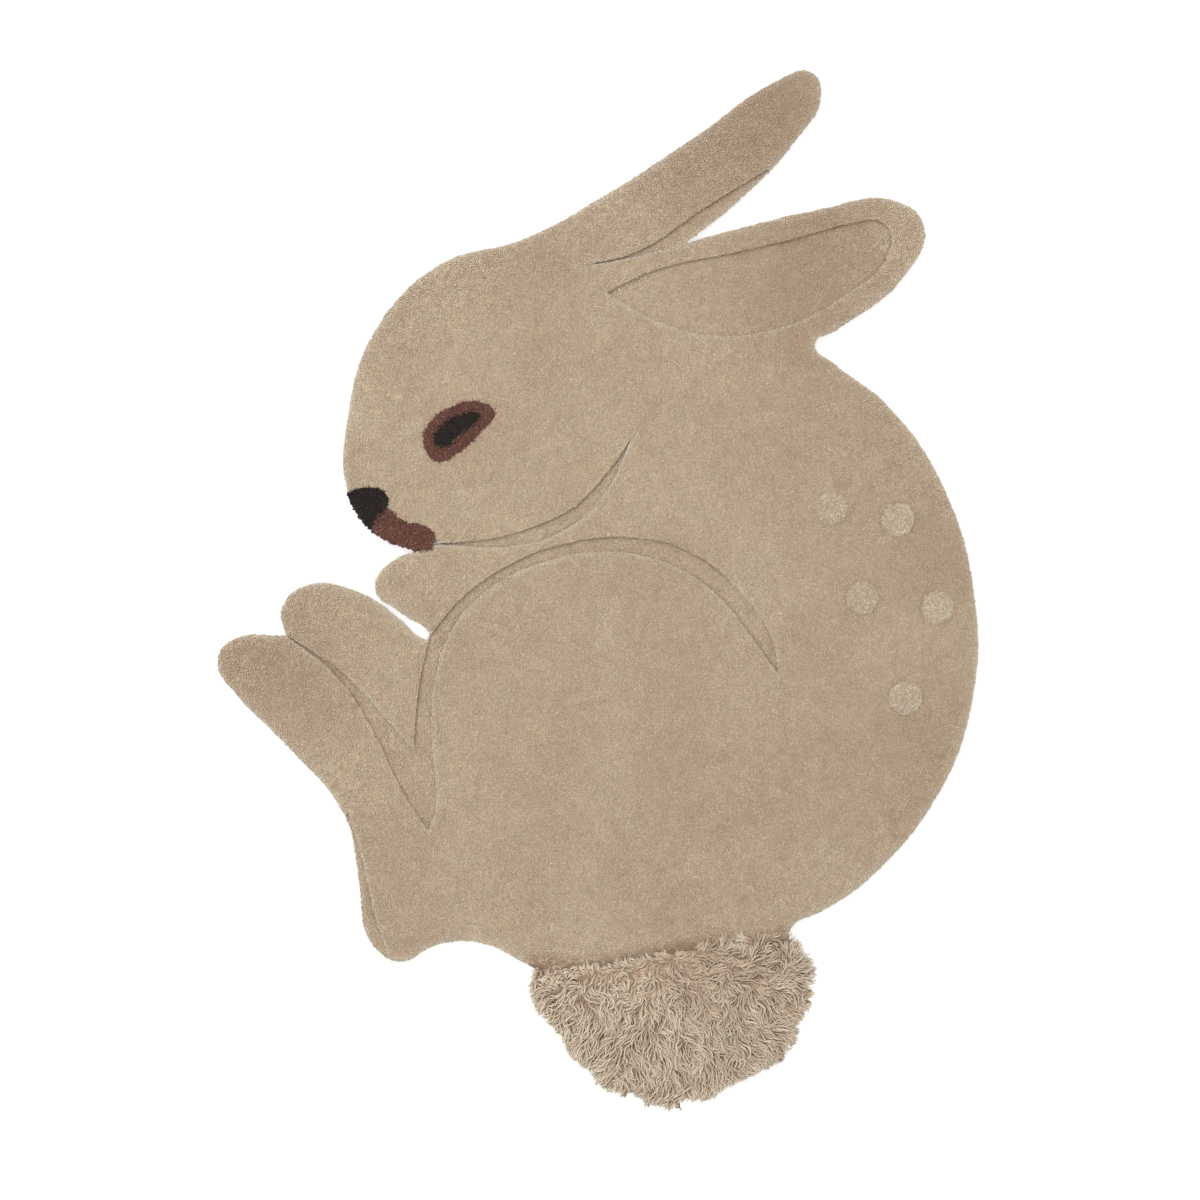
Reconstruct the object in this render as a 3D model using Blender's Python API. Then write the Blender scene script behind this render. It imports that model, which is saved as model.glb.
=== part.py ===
"""Rabbit-shaped tufted wool rug, lying flat on a floor.

Seen from above, the rabbit lies on its side with its nose to the left (-X) and its ears
up (+Y). +Z is up and the underside of the backing is at Z = 0. The origin is the middle of
the rug's outline. Lengths in the tables are in millimetres, and MM turns them into metres.

The pile stands on one backing. Inner ears, cheek, thigh and feet are drawn by pile that is
sheared lower. Eye, nose, mouth and back spots are tufted in other yarns, so each of them
is a solid of its own, standing on the backing in its pocket in the pile. The tail is long
shag with locks around its rim.
"""

import math
import random

import bmesh
import bpy

MM = 0.001

# Heights above the floor, in millimetres
BACKING = 3.0          # canvas backing with its latex
PILE_TOP = 13.0        # cut pile, backing included
SHEARED = 4.0          # how much lower the sheared fields are
EDGE_ROUND = 4.0       # round of the pile at the rug's rim
SPOT_TOP = 16.0        # the back spots stand a little proud
SPOT_ROUND = 3.5
GAP = 0.3              # clearance between neighbouring solids
OVERSHOOT = 20.0       # how far cutters reach past what they cut

# Long shag of the tail, in millimetres
TAIL_MIDDLE = (72.0, -392.0)
TAIL_HEIGHT = 25.0     # at its root
TAIL_RIM_HEIGHT = 9.0  # where the locks leave the slab
TAIL_LIFT = 1.0        # the slab's rim is held up a little by its locks
TAIL_SLAB = 0.88       # slab's share of the reach
TAIL_BACKING = 0.78    # backing's share of the reach
TAIL_SIDES = 80
TAIL_RINGS = 10
LUMP_HEIGHT = 3.5
LUMPS_AROUND = 20
LUMP_ROWS = 5
LOCK_ROOT = 0.80       # where a lock starts, as a share of the reach
LOCK_COUNT = 50
LOCK_WIDTH = 7.6
LOCK_SWAY = 6.0        # how far a group of locks bends sideways
LOCK_STRAY = 1.5       # how far one lock strays from its group
LOCK_SHORTER = 0.08    # how much shorter than the reach a lock may be, as a share of it
FIRST_LOCK = 4.0       # bearings of the first and the last lock, in degrees
LAST_LOCK = -173.5

CURVE_STEPS = 5        # straight steps between two points of an outline
ROUND_STEPS = 2
SPOT_SIDES = 30

ROUND = "AUTO"         # the outline passes smoothly
CORNER = "VECTOR"      # the outline turns sharply

# Outline of the rug without its tail, clockwise from the chin
# columns: x, y, kind of point
FACE = (
    (-190, 40, CORNER),
    (-236, 60, ROUND),
    (-265, 105, ROUND),
    (-265, 180, ROUND),
    (-235, 275, ROUND),
    (-165, 345, ROUND),
    (-80, 370, ROUND),
)
FAR_EAR = (
    (0, 412, ROUND),
    (105, 480, ROUND),
    (195, 541, ROUND),
    (226, 549, ROUND),
    (238, 525, ROUND),
    (210, 475, ROUND),
    (150, 411, ROUND),
)
NEAR_EAR = (
    (92, 366, CORNER),
    (150, 382, ROUND),
    (235, 402, ROUND),
    (315, 412, ROUND),
    (347, 385, ROUND),
    (325, 330, ROUND),
    (255, 275, ROUND),
)
BACK = (
    (231, 259, ROUND),
    (250, 240, ROUND),
    (308, 195, ROUND),
    (369, 105, ROUND),
    (402, -20, ROUND),
    (399, -115, ROUND),
    (367, -210, ROUND),
    (290, -307, ROUND),
    (240, -342, ROUND),
    (206, -360, ROUND),
)
TAIL_ROOT = (
    (203, -374, CORNER),
    (105, -387, ROUND),
    (-10, -408, ROUND),
    (-68, -402, CORNER),
)
RUMP = (
    (-125, -376, ROUND),
    (-170, -378, ROUND),
    (-210, -396, ROUND),
    (-241, -375, ROUND),
    (-253, -310, ROUND),
    (-268, -241, ROUND),
)
LOWER_FOOT = (
    (-330, -166, ROUND),
    (-385, -110, ROUND),
    (-403, -80, ROUND),
    (-390, -56, ROUND),
    (-330, -50, CORNER),
)
UPPER_FOOT = (
    (-335, -22, ROUND),
    (-310, 3, ROUND),
    (-255, -3, ROUND),
    (-208, -34, ROUND),
    (-189, -51, ROUND),
    (-179, -53, ROUND),
)
PAW = (
    (-208, -26, ROUND),
    (-236, 0, ROUND),
    (-216, 30, ROUND),
)
OUTLINE = FACE + FAR_EAR + NEAR_EAR + BACK + TAIL_ROOT + RUMP + LOWER_FOOT + UPPER_FOOT + PAW

# Fields of sheared pile. Points outside the rug only carry the cut past its rim.
# columns: x, y, kind of point
INNER_NEAR_EAR = (
    (11, 314, CORNER),
    (60, 337, ROUND),
    (150, 357, ROUND),
    (215, 372, ROUND),
    (270, 387, ROUND),
    (304, 387, ROUND),
    (312, 364, ROUND),
    (255, 306, ROUND),
    (180, 273, ROUND),
    (110, 270, ROUND),
    (55, 288, ROUND),
)
INNER_FAR_EAR = (
    (-14, 342, CORNER),
    (45, 358, ROUND),
    (109, 400, ROUND),
    (175, 441, CORNER),
    (210, 455, CORNER),
    (150, 397, CORNER),
    (92, 366, CORNER),
    (35, 351, ROUND),
)
CHEEK = (
    (-172, 47, CORNER),
    (-82, 46, ROUND),
    (-39, 60, ROUND),
    (3, 94, ROUND),
    (37, 160, CORNER),
    (12, 124, ROUND),
    (-22, 88, ROUND),
    (-60, 68, ROUND),
    (-110, 53, ROUND),
)
THIGH_OUTER = (
    (-177, -50, CORNER),
    (-145, -12, ROUND),
    (-98, 22, ROUND),
    (-39, 46, ROUND),
    (30, 54, ROUND),
    (95, 40, ROUND),
    (152, -4, ROUND),
    (186, -55, ROUND),
    (192, -91, CORNER),
)
THIGH_INNER = (
    (163, -49, ROUND),
    (125, -4, ROUND),
    (67, 30, ROUND),
    (3, 39, ROUND),
    (-60, 27, ROUND),
    (-113, 1, ROUND),
    (-151, -39, ROUND),
    (-172, -95, ROUND),
    (-175, -170, ROUND),
    (-171, -232, ROUND),
    (-179, -256, CORNER),
)
FEET_PARTING = (
    (-204, -219, ROUND),
    (-235, -155, ROUND),
    (-272, -97, ROUND),
    (-329, -50, CORNER),
    (-267, -92, ROUND),
    (-225, -137, ROUND),
    (-194, -173, CORNER),
    (-189, -108, ROUND),
)
THIGH = THIGH_OUTER + THIGH_INNER + FEET_PARTING
FAR_LEG = (
    (-264, -238, CORNER),
    (-249, -288, ROUND),
    (-237, -341, ROUND),
    (-223, -388, CORNER),
    (-240, -420, CORNER),
    (-290, -360, CORNER),
    (-290, -260, CORNER),
)
SHEARED_FIELDS = (
    ("inner_near_ear", INNER_NEAR_EAR),
    ("inner_far_ear", INNER_FAR_EAR),
    ("cheek", CHEEK),
    ("thigh", THIGH),
    ("far_leg", FAR_LEG),
)

# Fields of other yarn
# columns: x, y, kind of point
EYE_RIM = (
    (-184, 156, ROUND),
    (-176, 177, ROUND),
    (-155, 192, ROUND),
    (-130, 198, ROUND),
    (-109, 186, ROUND),
    (-122, 168, ROUND),
    (-147, 144, ROUND),
    (-170, 135, ROUND),
)
EYE_PUPIL = (
    (-174, 156, ROUND),
    (-162, 176, ROUND),
    (-145, 185, ROUND),
    (-124, 184, ROUND),
    (-130, 174, ROUND),
    (-147, 162, ROUND),
    (-160, 149, ROUND),
)
NOSE = (
    (-285, 96, CORNER),
    (-262, 102, CORNER),
    (-240, 107, ROUND),
    (-225, 101, ROUND),
    (-222, 88, ROUND),
    (-234, 74, ROUND),
    (-238, 58, CORNER),
    (-246, 36, CORNER),
    (-285, 50, CORNER),
)
MOUTH = (
    (-236, 84, CORNER),
    (-222, 84, CORNER),
    (-205, 71, ROUND),
    (-181, 65, ROUND),
    (-171, 52, ROUND),
    (-175, 42, CORNER),
    (-190, 40, CORNER),
    (-245, 40, CORNER),
)

# Round tufts on the back
# columns: x, y, diameter
BACK_SPOTS = (
    (248, 85, 33),
    (319, 73, 34),
    (281, -10, 33),
    (361, -20, 33),
    (327, -116, 34),
)

# How far the tail's locks reach from its middle. Above the root line they are inside
# the rug, where they are cut away.
# columns: bearing in degrees from +X, reach
TAIL_REACH = (
    (8, 133),
    (0, 152),
    (-12, 161),
    (-27, 167),
    (-43, 166),
    (-60, 160),
    (-90, 161),
    (-110, 154),
    (-125, 145),
    (-146, 141),
    (-165, 148),
    (-176, 139),
    (-188, 120),
    (-230, 100),
    (-270, 100),
    (-320, 100),
)

# Yarn colours (linear RGB) and how matt each is
# columns: red, green, blue, roughness
YARNS = {
    "wool_beige": (0.479, 0.376, 0.258, 0.95),
    "shag_beige": (0.558, 0.456, 0.337, 0.90),
    "spot_beige": (0.560, 0.452, 0.322, 0.95),
    "wool_brown": (0.141, 0.058, 0.042, 0.95),
    "wool_black": (0.026, 0.022, 0.020, 0.95),
}


def clear_scene():
    for scene_object in list(bpy.data.objects):
        bpy.data.objects.remove(scene_object, do_unlink=True)


def new_collection(name):
    made = bpy.data.collections.new(name)
    bpy.context.scene.collection.children.link(made)
    return made


def yarn(slot):
    """Principled material of one yarn, made once."""
    if slot in bpy.data.materials:
        return bpy.data.materials[slot]
    red, green, blue, roughness = YARNS[slot]
    made = bpy.data.materials.new(slot)
    made.use_nodes = True
    shader = made.node_tree.nodes["Principled BSDF"]
    shader.inputs["Base Color"].default_value = (red, green, blue, 1.0)
    shader.inputs["Roughness"].default_value = roughness
    shader.inputs["Metallic"].default_value = 0.0
    made.diffuse_color = (red, green, blue, 1.0)
    return made


def place_mesh(name, mesh, group):
    """Object for a mesh whose points are already in world space."""
    made = bpy.data.objects.new(name, mesh)
    group.objects.link(made)
    if group is CUTTERS:
        made.hide_render = True
        made.display_type = "WIRE"
    return made


def flat_solid(name, rows, bottom, top, group, edge=0.0, grow=0.0):
    """Solid between two heights, with the outline of the rows.

    edge rounds its upper and lower rims inside the outline, and grow widens the outline.
    """
    curve = bpy.data.curves.new(name + "_outline", "CURVE")
    curve.dimensions = "2D"
    curve.fill_mode = "BOTH"
    curve.resolution_u = CURVE_STEPS
    curve.extrude = ((top - bottom) / 2 - edge) * MM
    curve.bevel_depth = edge * MM
    curve.bevel_resolution = ROUND_STEPS
    curve.offset = (grow - edge) * MM
    spline = curve.splines.new("BEZIER")
    spline.bezier_points.add(len(rows) - 1)
    for point, (x, y, kind) in zip(spline.bezier_points, rows):
        point.co = (x * MM, y * MM, 0.0)
        point.handle_left_type = kind
        point.handle_right_type = kind
    spline.use_cyclic_u = True
    guide = bpy.data.objects.new(name + "_outline", curve)
    guide.location.z = (bottom + top) / 2 * MM
    bpy.context.scene.collection.objects.link(guide)
    bpy.context.view_layer.update()
    evaluated = guide.evaluated_get(bpy.context.evaluated_depsgraph_get())
    mesh = bpy.data.meshes.new_from_object(evaluated)
    mesh.name = name
    mesh.transform(guide.matrix_world)
    bpy.data.objects.remove(guide, do_unlink=True)
    shape = bmesh.new()
    shape.from_mesh(mesh)
    bmesh.ops.remove_doubles(shape, verts=shape.verts, dist=1e-6)
    bmesh.ops.recalc_face_normals(shape, faces=shape.faces)
    shape.to_mesh(mesh)
    shape.free()
    mesh.materials.clear()
    return place_mesh(name, mesh, group)


def boolean(solid, operation, other):
    """Boolean modifier with one object or with all objects of a collection."""
    change = solid.modifiers.new(operation.lower(), "BOOLEAN")
    change.operation = operation
    change.solver = "EXACT"
    if isinstance(other, bpy.types.Collection):
        change.operand_type = "COLLECTION"
        change.collection = other
    else:
        change.object = other


def finish(solid, slot):
    solid.data.materials.clear()
    solid.data.materials.append(yarn(slot))
    solid.data.shade_smooth()
    solid.data.set_sharp_from_angle(angle=math.radians(35))


# The tail

def tail_reach(bearing):
    """Reach of the locks in a direction, smoothly between the rows of the table."""
    rows = TAIL_REACH + ((TAIL_REACH[0][0] - 360, TAIL_REACH[0][1]),)
    while bearing > rows[0][0]:
        bearing -= 360
    for (start, near), (end, far) in zip(rows, rows[1:]):
        if start >= bearing >= end:
            share = (start - bearing) / (start - end)
            ease = share * share * (3 - 2 * share)
            return near + (far - near) * ease
    return rows[0][1]


def tail_point(bearing, share, height):
    """Place at a share of the reach, in metres."""
    reach = tail_reach(bearing) * share
    x = TAIL_MIDDLE[0] + reach * math.cos(math.radians(bearing))
    y = TAIL_MIDDLE[1] + reach * math.sin(math.radians(bearing))
    return (x * MM, y * MM, height * MM)


def tail_rows(share):
    """Outline around the tail at a share of its reach, as rows for flat_solid."""
    rows = []
    for bearing in range(0, -360, -15):
        x, y, _ = tail_point(bearing, share, 0)
        rows.append((x / MM, y / MM, ROUND))
    return tuple(rows)


def tail_height(bearing, share):
    """Height of the shag: a crown that falls to the rim, with lumps in staggered rows."""
    crown = TAIL_RIM_HEIGHT + (TAIL_HEIGHT - TAIL_RIM_HEIGHT) * (1 - share ** 2)
    around = math.sin(math.radians(bearing) * LUMPS_AROUND)
    along = math.cos(share * LUMP_ROWS * math.pi)
    return crown + LUMP_HEIGHT * share * around * along


def tail_slab(group):
    """Lumpy slab, lofted from its middle to its rim, with a flat underside."""
    bearings = [-360 * side / TAIL_SIDES for side in range(TAIL_SIDES)]
    shape = bmesh.new()
    crown = shape.verts.new(tail_point(0, 0, tail_height(0, 0)))
    loops = []
    for ring in range(1, TAIL_RINGS + 1):
        share = ring / TAIL_RINGS
        loop = []
        for bearing in bearings:
            height = tail_height(bearing, share)
            loop.append(shape.verts.new(tail_point(bearing, share * TAIL_SLAB, height)))
        loops.append(loop)
    foot = [shape.verts.new(tail_point(bearing, TAIL_SLAB, TAIL_LIFT)) for bearing in bearings]
    loops.append(foot)
    for side in range(TAIL_SIDES):
        after = (side + 1) % TAIL_SIDES
        shape.faces.new((crown, loops[0][side], loops[0][after]))
        for inner, outer in zip(loops, loops[1:]):
            shape.faces.new((inner[side], outer[side], outer[after], inner[after]))
    shape.faces.new(foot)
    bmesh.ops.triangulate(shape, faces=shape.faces)
    bmesh.ops.recalc_face_normals(shape, faces=shape.faces)
    mesh = bpy.data.meshes.new("tail_shag")
    shape.to_mesh(mesh)
    shape.free()
    return place_mesh("tail_shag", mesh, group)


def tail_lock(number, bearing, length, sway, group):
    """One four-sided lock, lying on the floor from its root in the slab to its tip."""
    # columns: share of the lock's length, width, height
    sections = (
        (0.00, LOCK_WIDTH, TAIL_RIM_HEIGHT),
        (0.55, LOCK_WIDTH * 0.85, TAIL_RIM_HEIGHT * 0.75),
        (1.00, 2.2, 1.6),
    )
    radians = math.radians(bearing)
    across = (-math.sin(radians), math.cos(radians))
    shape = bmesh.new()
    loops = []
    for share, width, height in sections:
        reach = LOCK_ROOT + (length - LOCK_ROOT) * share
        x, y, _ = tail_point(bearing, reach, 0)
        bend = sway * share ** 2
        loop = []
        for side, level in ((-0.5, 0), (0.5, 0), (0.3, height), (-0.3, height)):
            offset = (bend + side * width) * MM
            loop.append(shape.verts.new((x + across[0] * offset, y + across[1] * offset, level * MM)))
        loops.append(loop)
    for inner, outer in zip(loops, loops[1:]):
        for side in range(4):
            after = (side + 1) % 4
            shape.faces.new((inner[side], inner[after], outer[after], outer[side]))
    shape.faces.new(loops[0])
    shape.faces.new(loops[-1])
    bmesh.ops.triangulate(shape, faces=shape.faces)
    bmesh.ops.recalc_face_normals(shape, faces=shape.faces)
    mesh = bpy.data.meshes.new("lock")
    shape.to_mesh(mesh)
    shape.free()
    return place_mesh("lock_%02d" % number, mesh, group)


def tail_locks(group):
    """Locks all around the free rim, uneven in length and sway."""
    chance = random.Random(11)
    for number in range(LOCK_COUNT):
        bearing = FIRST_LOCK + (LAST_LOCK - FIRST_LOCK) * number / (LOCK_COUNT - 1)
        length = 1.0 - chance.uniform(0.0, LOCK_SHORTER)
        sway = LOCK_SWAY * math.sin(number * 0.55) + chance.uniform(-LOCK_STRAY, LOCK_STRAY)
        tail_lock(number, bearing, length, sway, group)


# The rug

def rug_slab(name, group):
    return flat_solid(name, OUTLINE, 0.0, PILE_TOP, group, edge=EDGE_ROUND)


def pocket(name, rows, floor):
    """Cutter for a field, down to a height."""
    top = PILE_TOP + OVERSHOOT
    return flat_solid(name + "_cutter", rows, floor, top, CUTTERS, grow=GAP)


def pile_field(name, rows, slot):
    """Solid of a field tufted in another yarn, with the rug's own top and rim."""
    top = PILE_TOP + OVERSHOOT
    field = flat_solid(name, rows, BACKING + GAP, top, RUG)
    boolean(field, "INTERSECT", WHOLE_SLAB)
    finish(field, slot)
    return field


def back_spot(number, x, y, diameter):
    """Round tuft with a rounded crown, and the cutter of its pocket."""
    name = "back_spot_%d" % number
    half = diameter / 2
    low = BACKING + GAP
    shape = bmesh.new()
    bmesh.ops.create_cone(
        shape, cap_ends=True, segments=SPOT_SIDES,
        radius1=half * MM, radius2=half * MM, depth=(SPOT_TOP - low) * MM,
    )
    rim = [edge for edge in shape.edges if all(vert.co.z > 0 for vert in edge.verts)]
    bmesh.ops.bevel(
        shape, geom=rim, offset=SPOT_ROUND * MM, segments=3, profile=0.5, affect="EDGES",
    )
    bmesh.ops.translate(shape, verts=shape.verts, vec=(x * MM, y * MM, (low + SPOT_TOP) / 2 * MM))
    mesh = bpy.data.meshes.new(name)
    shape.to_mesh(mesh)
    shape.free()
    finish(place_mesh(name, mesh, RUG), "spot_beige")

    shape = bmesh.new()
    height = PILE_TOP + OVERSHOOT - BACKING
    bmesh.ops.create_cone(
        shape, cap_ends=True, segments=SPOT_SIDES,
        radius1=(half + GAP) * MM, radius2=(half + GAP) * MM, depth=height * MM,
    )
    bmesh.ops.translate(shape, verts=shape.verts, vec=(x * MM, y * MM, (BACKING + height / 2) * MM))
    mesh = bpy.data.meshes.new(name + "_cutter")
    shape.to_mesh(mesh)
    shape.free()
    return place_mesh(name + "_cutter", mesh, CUTTERS)


def make_fields(body):
    """Eye, nose, mouth and spots, each in its pocket."""
    eye_pocket = pocket("eye_rim", EYE_RIM, BACKING)
    pupil_pocket = pocket("eye_pupil", EYE_PUPIL, BACKING)
    nose_pocket = pocket("nose", NOSE, BACKING)
    mouth_pocket = pocket("mouth", MOUTH, BACKING)
    boolean(body, "DIFFERENCE", eye_pocket)
    boolean(body, "DIFFERENCE", nose_pocket)
    boolean(body, "DIFFERENCE", mouth_pocket)
    rim = pile_field("eye_rim", EYE_RIM, "wool_brown")
    boolean(rim, "DIFFERENCE", pupil_pocket)
    pile_field("eye_pupil", EYE_PUPIL, "wool_black")
    pile_field("nose", NOSE, "wool_black")
    lips = pile_field("mouth", MOUTH, "wool_brown")
    boolean(lips, "DIFFERENCE", nose_pocket)
    for number, (x, y, diameter) in enumerate(BACK_SPOTS, start=1):
        boolean(body, "DIFFERENCE", back_spot(number, x, y, diameter))


def make_body():
    """Pile and backing of the whole rug, with the backing under the tail."""
    body = rug_slab("rug_body", RUG)
    tongue = flat_solid("tail_backing", tail_rows(TAIL_BACKING), 0.0, BACKING, CUTTERS)
    boolean(body, "UNION", tongue)
    for name, rows in SHEARED_FIELDS:
        boolean(body, "DIFFERENCE", pocket(name, rows, PILE_TOP - SHEARED))
    make_fields(body)
    finish(body, "wool_beige")


def make_tail():
    """Shag of the tail over its backing and against the rug's edge."""
    tail = tail_slab(RUG)
    tail_locks(LOCKS)
    boolean(tail, "UNION", LOCKS)
    backing = flat_solid(
        "tail_backing_room", tail_rows(TAIL_BACKING), -OVERSHOOT, BACKING + GAP, CUTTERS, grow=GAP,
    )
    boolean(tail, "DIFFERENCE", backing)
    room = flat_solid(
        "rug_room", OUTLINE, -OVERSHOOT, TAIL_HEIGHT + OVERSHOOT, CUTTERS, grow=GAP,
    )
    boolean(tail, "DIFFERENCE", room)
    finish(tail, "shag_beige")


clear_scene()
RUG = new_collection("rabbit_rug")
CUTTERS = new_collection("cutters")
LOCKS = new_collection("tail_locks")
WHOLE_SLAB = rug_slab("whole_slab", CUTTERS)
make_body()
make_tail()
for lock in LOCKS.objects:
    lock.hide_render = True
    lock.display_type = "WIRE"
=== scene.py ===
# %% [markdown]
# # A rabbit rug of tufted wool
# The rug lies flat on a pale floor and the camera looks straight down on it. The packed
# model already holds the true sizes: the outline, the lower sheared fields, the pockets of
# the other yarns and the lumpy tail. This lesson covers those solids with yarn. Everything
# is in metres, and +Z is up.

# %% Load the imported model
import math

import bmesh
import bpy
import numpy as np
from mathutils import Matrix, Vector


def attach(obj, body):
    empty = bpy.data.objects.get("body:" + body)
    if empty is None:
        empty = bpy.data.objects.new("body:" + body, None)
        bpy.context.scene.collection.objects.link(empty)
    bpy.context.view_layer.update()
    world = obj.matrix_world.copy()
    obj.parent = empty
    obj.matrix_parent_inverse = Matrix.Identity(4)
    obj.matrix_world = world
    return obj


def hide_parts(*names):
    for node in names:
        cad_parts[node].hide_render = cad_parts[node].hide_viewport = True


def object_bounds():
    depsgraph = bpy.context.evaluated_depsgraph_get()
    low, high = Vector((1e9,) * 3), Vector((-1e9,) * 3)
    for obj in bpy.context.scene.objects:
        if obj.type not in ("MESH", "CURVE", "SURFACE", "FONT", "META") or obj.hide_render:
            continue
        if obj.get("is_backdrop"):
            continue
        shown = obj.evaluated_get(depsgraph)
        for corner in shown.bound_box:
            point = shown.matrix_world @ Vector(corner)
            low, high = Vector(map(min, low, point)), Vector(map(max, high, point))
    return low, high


MM = 0.001

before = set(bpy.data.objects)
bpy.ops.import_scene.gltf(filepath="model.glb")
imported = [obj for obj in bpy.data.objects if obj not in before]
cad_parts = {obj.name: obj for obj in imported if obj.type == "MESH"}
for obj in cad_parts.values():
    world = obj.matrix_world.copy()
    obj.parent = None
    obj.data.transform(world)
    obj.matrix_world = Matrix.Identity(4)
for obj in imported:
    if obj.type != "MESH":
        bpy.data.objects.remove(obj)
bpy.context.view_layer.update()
print("solids:", sorted(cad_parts))

# %% [markdown]
# ## Camera
# A rug that lies on a floor is pictured from right above, so that nothing of its outline
# is foreshortened. A camera without any rotation looks down along -Z with +Y up. A long lens
# from three metres keeps the rims of the pile from leaning outwards in the picture.

# %% Camera
LENS = 85.0                        # millimetres, on the usual 36 mm sensor
SENSOR = 36.0
PICTURE_WIDTH = 1.272              # how much of the floor the picture shows, in metres
PICTURE_MIDDLE = (0.0032, -0.0122)
PILE_TOP = 0.013
CLIP_END = 20.0

camera_data = bpy.data.cameras.new("camera")
camera_data.lens = LENS
camera_data.sensor_width = SENSOR
camera_data.clip_end = CLIP_END
camera = bpy.data.objects.new("camera", camera_data)
bpy.context.scene.collection.objects.link(camera)
camera.location = (*PICTURE_MIDDLE, PILE_TOP + PICTURE_WIDTH * LENS / SENSOR)
bpy.context.scene.camera = camera
print("camera height:", round(camera.location.z, 3))

# %% [markdown]
# ## Light
# Sheared lines in a rug are only a few millimetres deep. They show because a soft light
# from one side leaves a thin shadow under each raised edge. One wide lamp stands at the
# upper left, and an even white sky fills the shadows. The standard view transform keeps the
# yarn colours as they are set.

# %% Lamp and sky
LAMP_PLACE = Vector((-2.4, 2.4, 5.0))
LAMP_SIDE = 3.6
LAMP_POWER = 144.0
SKY_STRENGTH = 1.02

scene = bpy.context.scene
scene.view_settings.view_transform = "Standard"

lamp_data = bpy.data.lights.new("lamp", "AREA")
lamp_data.shape = "SQUARE"
lamp_data.size = LAMP_SIDE
lamp_data.energy = LAMP_POWER
lamp = bpy.data.objects.new("lamp", lamp_data)
scene.collection.objects.link(lamp)
lamp.location = LAMP_PLACE
lamp.rotation_euler = (-LAMP_PLACE).to_track_quat("-Z", "Y").to_euler()

sky = bpy.data.worlds.new("sky")
sky.use_nodes = True
sky.node_tree.nodes["Background"].inputs["Color"].default_value = (1.0, 1.0, 1.0, 1.0)
sky.node_tree.nodes["Background"].inputs["Strength"].default_value = SKY_STRENGTH
scene.world = sky
print("lamp power:", LAMP_POWER, "sky strength:", SKY_STRENGTH)

# %% [markdown]
# ## Node helpers
# Materials and Geometry Nodes are both node trees, so one short helper serves both. It makes
# a node, sets its own settings, and sets or links each input. The smaller helpers below
# stand for sums that come up again and again.

# %% Helpers for node trees
def add(tree, kind, inputs=None, **settings):
    """New node. Each input is given a value, or a socket that it is linked to."""
    node = tree.nodes.new(kind)
    for key, value in settings.items():
        setattr(node, key, value)
    for key, value in (inputs or {}).items():
        if isinstance(value, bpy.types.NodeSocket):
            tree.links.new(value, node.inputs[key])
        else:
            node.inputs[key].default_value = value
    return node


def sums(tree, operation, *values):
    """Result of a Math node."""
    return add(tree, "ShaderNodeMath", dict(enumerate(values)), operation=operation).outputs[0]


def vectors(tree, operation, *values):
    """Result of a Vector Math node."""
    made = add(tree, "ShaderNodeVectorMath", dict(enumerate(values)), operation=operation)
    return made.outputs[0]


def scaled(tree, vector, factor):
    """A vector times a number."""
    node = add(tree, "ShaderNodeVectorMath", {0: vector, "Scale": factor}, operation="SCALE")
    return node.outputs[0]


def span(tree, value, start, end, low, high):
    """A value mapped from start..end to low..high, and kept within it."""
    inputs = {"Value": value, "From Min": start, "From Max": end, "To Min": low, "To Max": high}
    return add(tree, "ShaderNodeMapRange", inputs).outputs[0]


def noise(tree, place, scale, detail, output=0):
    """A noise with so many cells to a metre. Output 0 is one number, and 1 is three."""
    inputs = {"Vector": place, "Scale": scale, "Detail": detail}
    return add(tree, "ShaderNodeTexNoise", inputs).outputs[output]


def carried(tree, name):
    """The number of that name which the mesh carries at each point."""
    return add(tree, "ShaderNodeAttribute", attribute_name=name).outputs["Fac"]


NOISE = (0.3, 0.7)      # nearly all of a noise lies between these


# %% [markdown]
# ## Wool
# Dyed wool isn't one colour. Seen closely, each tuft is a little lighter or darker than the
# next. Seen from a step away, the pile has soft cloudy patches, where it was brushed another
# way, and some places lie darker than the rest. Shade is painted towards the roots, because
# little light gets between them. The material multiplies these to one brightness, from the
# tufts' own attributes and four noises in Object coordinates. Darker wool turns warmer and
# paler wool cooler, by a power for each of red, green and blue. Painted shade darkens the
# shear lines and the pile beside the tail. Towards the rug's rim, and along a shear edge that
# faces the lamp, a painted highlight makes the tufts paler. Fine bump stands for the single
# fibres, and sheen for the light that their ends catch.

# %% Wool material
BRIGHTNESS_TINT = (0.70, 1.00, 1.15)           # how strongly red, green and blue follow the brightness: darker turns warmer
CREASE_SHADE = 0.22                         # share of the brightness lost to painted shade in a shear line
SHADE = 0.60                       # and to painted shade beside the tail
HIGHLIGHT_COLOUR = (0.88, 0.89, 0.82)        # the pale colour of the painted highlight
RIDGE_HIGHLIGHT = 0.50                       # how much painted highlight shows along a shear edge that faces the lamp
PATCHES = 0.06                     # share by which cloudy patches differ
BRUSHED = 0.036                    # and the smaller brushed ones
FIBRES = 0.4                       # strength of the fine bump
FIBRE_DEPTH = 0.4 * MM
LIT = 0.8                          # share of a tuft's height that is fully lit
BREAKS = (0.35, 0.6, 0.2, 1.0)     # a noise from..to gives this least..most of a line
# noises, in cells to a metre
CLOUD_CELLS = 9.0
BRUSH_CELLS = 60.0
BREAK_CELLS = 150.0
GRAIN_CELLS = 520.0
FIBRE_CELLS = 1400.0


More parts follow.
